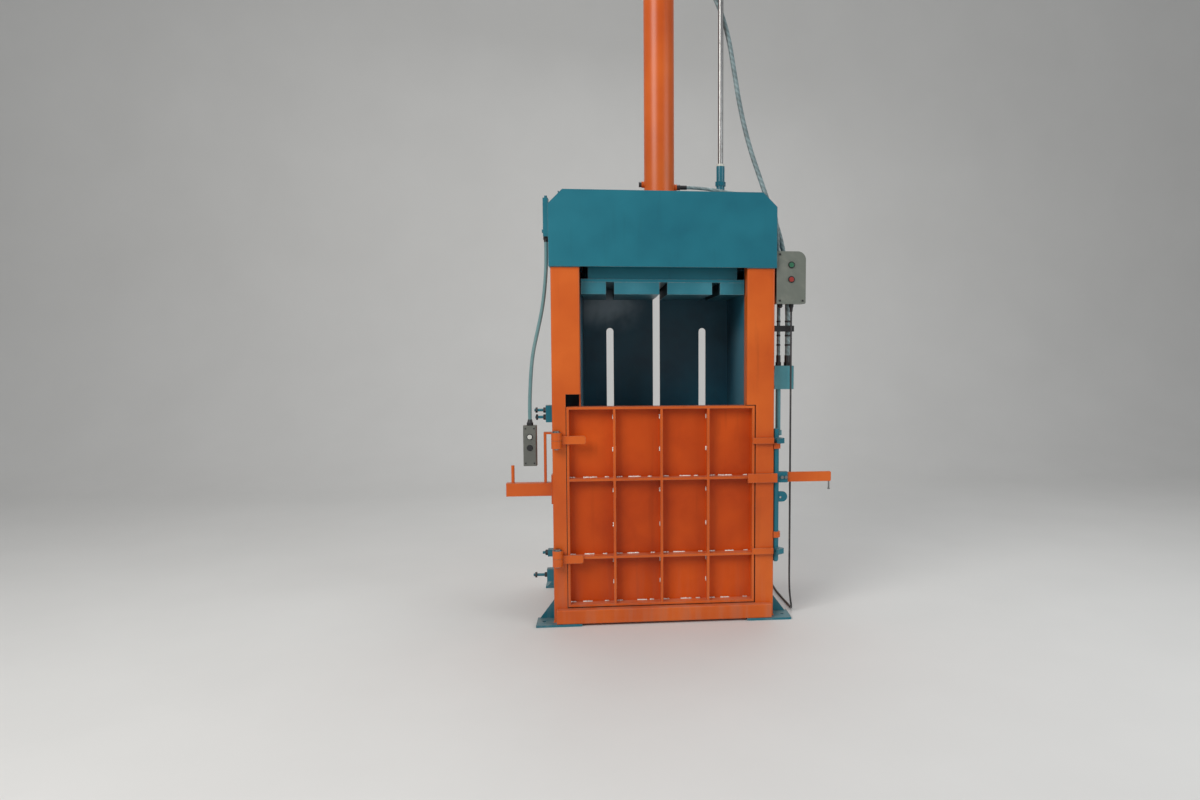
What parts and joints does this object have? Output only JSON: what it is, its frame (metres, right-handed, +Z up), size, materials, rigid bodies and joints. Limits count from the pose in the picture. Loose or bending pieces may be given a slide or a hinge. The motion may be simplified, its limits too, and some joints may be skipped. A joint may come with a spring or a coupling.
{
  "type": "vertical recycling baler",
  "caption": "Upright press that bales waste: a ribbed swinging door with a turning lock below a feed opening, a platen on a hydraulic cylinder, and a crosshead.",
  "frame": {"origin": "centre of the rectangle of the four anchor holes, on the floor", "axes": "+X to the right as the operator stands before the door, +Y to the rear, +Z up"},
  "size_m": [1.64, 1.009, 3.402],
  "materials": {
    "paint_orange": "worn orange gloss paint",
    "paint_panel": "worn darker orange paint",
    "paint_teal": "worn teal gloss paint",
    "paint_block": "pale teal paint",
    "chamber_steel": "dark paint rubbed by the load",
    "bright_steel": "machined and oiled",
    "chromed_rod": "ground and chromed",
    "seal_rubber": "matt",
    "hose_rubber": "matt with a fine wrap",
    "dark_fittings": "blackened",
    "pale_nylon": "satin",
    "box_paint": "hammered olive grey",
    "green_plastic": "satin",
    "red_plastic": "satin",
    "lead_rubber": "matt",
    "plug_plastic": "moulded",
    "cable_sheath": "matt",
    "pendant_plastic": "moulded",
    "white_plastic": "satin",
    "black_plastic": "satin"
  },
  "bodies": {
    "frame": {"posts_front": "paint_orange", "posts_rear": "paint_orange", "sills": "paint_orange", "side_rails": "paint_orange", "side_stiffeners": "paint_orange", "side_walls": "chamber_steel", "back_wall": "chamber_steel", "back_stiffeners": "paint_orange", "floor_plate": "paint_orange", "floor_blocks": "chamber_steel", "door_stops": "paint_panel", "feet": "paint_teal", "crosshead_plates": "paint_teal", "crosshead_ends": "paint_teal", "crosshead_top": "paint_teal", "crosshead_webs": "paint_teal", "post_knuckles": "paint_orange", "hinge_pins": "bright_steel", "lock_brackets": "paint_orange", "cylinder_tube": "paint_orange", "cylinder_cap": "paint_orange", "cylinder_gland": "bright_steel", "cylinder_bolts": "bright_steel", "hose_fittings": "dark_fittings", "striker_guide": "paint_teal", "striker_bush": "pale_nylon", "hoses": "hose_rubber", "coupling_block": "paint_block", "starter_box": "box_paint", "starter_cover": "box_paint", "cable_fittings": "dark_fittings", "power_lead": "lead_rubber", "power_coil": "lead_rubber", "power_plug": "plug_plastic", "pendant_bracket": "paint_teal", "control_cable": "cable_sheath", "pendant": "pendant_plastic", "reel_bracket": "paint_orange", "side_lugs": "paint_teal"},
    "door": {"door_panel": "paint_panel", "door_frame": "paint_orange", "door_ribs": "paint_orange", "door_lugs": "paint_orange", "hinge_straps": "paint_orange"},
    "lock": {"lock_shaft": "paint_teal", "lock_claws": "paint_teal", "lever": "paint_orange", "lever_bolts": "bright_steel"},
    "platen": {"platen_plate": "paint_teal", "platen_blocks": "paint_teal", "platen_neck": "paint_teal", "piston_rod": "chromed_rod", "piston": "bright_steel", "piston_rings": "seal_rubber", "rod_bolts": "bright_steel", "striker_rod": "bright_steel"},
    "start": {"starter_button": "green_plastic"},
    "stop": {"stop_button": "red_plastic"},
    "up": {"pendant_up": "white_plastic"},
    "down": {"pendant_down": "black_plastic"}
  },
  "joints": [
    {"name": "platen_slide", "type": "slide", "parent": "frame", "child": "platen", "axis": [0, 0, -1], "range_m": [0, 1]},
    {"name": "door_swing", "type": "hinge", "parent": "frame", "child": "door", "pos_m": [-0.533, -0.396, 0.6365], "axis": [0, 0, -1], "range_deg": [0, 110]},
    {"name": "lock_turn", "type": "hinge", "parent": "frame", "child": "lock", "pos_m": [0.57, -0.35, 0.631], "axis": [0, 0, -1], "range_deg": [0, 35]},
    {"name": "start_press", "type": "slide", "parent": "frame", "child": "start", "axis": [0, 1, 0], "range_m": [0, 0.004], "stiffness_N_per_m": 600, "springref_m": -0.003},
    {"name": "stop_press", "type": "slide", "parent": "frame", "child": "stop", "axis": [0, 1, 0], "range_m": [0, 0.004], "stiffness_N_per_m": 600, "springref_m": -0.003},
    {"name": "up_press", "type": "slide", "parent": "frame", "child": "up", "axis": [0, 1, 0], "range_m": [0, 0.004], "stiffness_N_per_m": 600, "springref_m": -0.003},
    {"name": "down_press", "type": "slide", "parent": "frame", "child": "down", "axis": [0, 1, 0], "range_m": [0, 0.004], "stiffness_N_per_m": 600, "springref_m": -0.003}
  ]
}
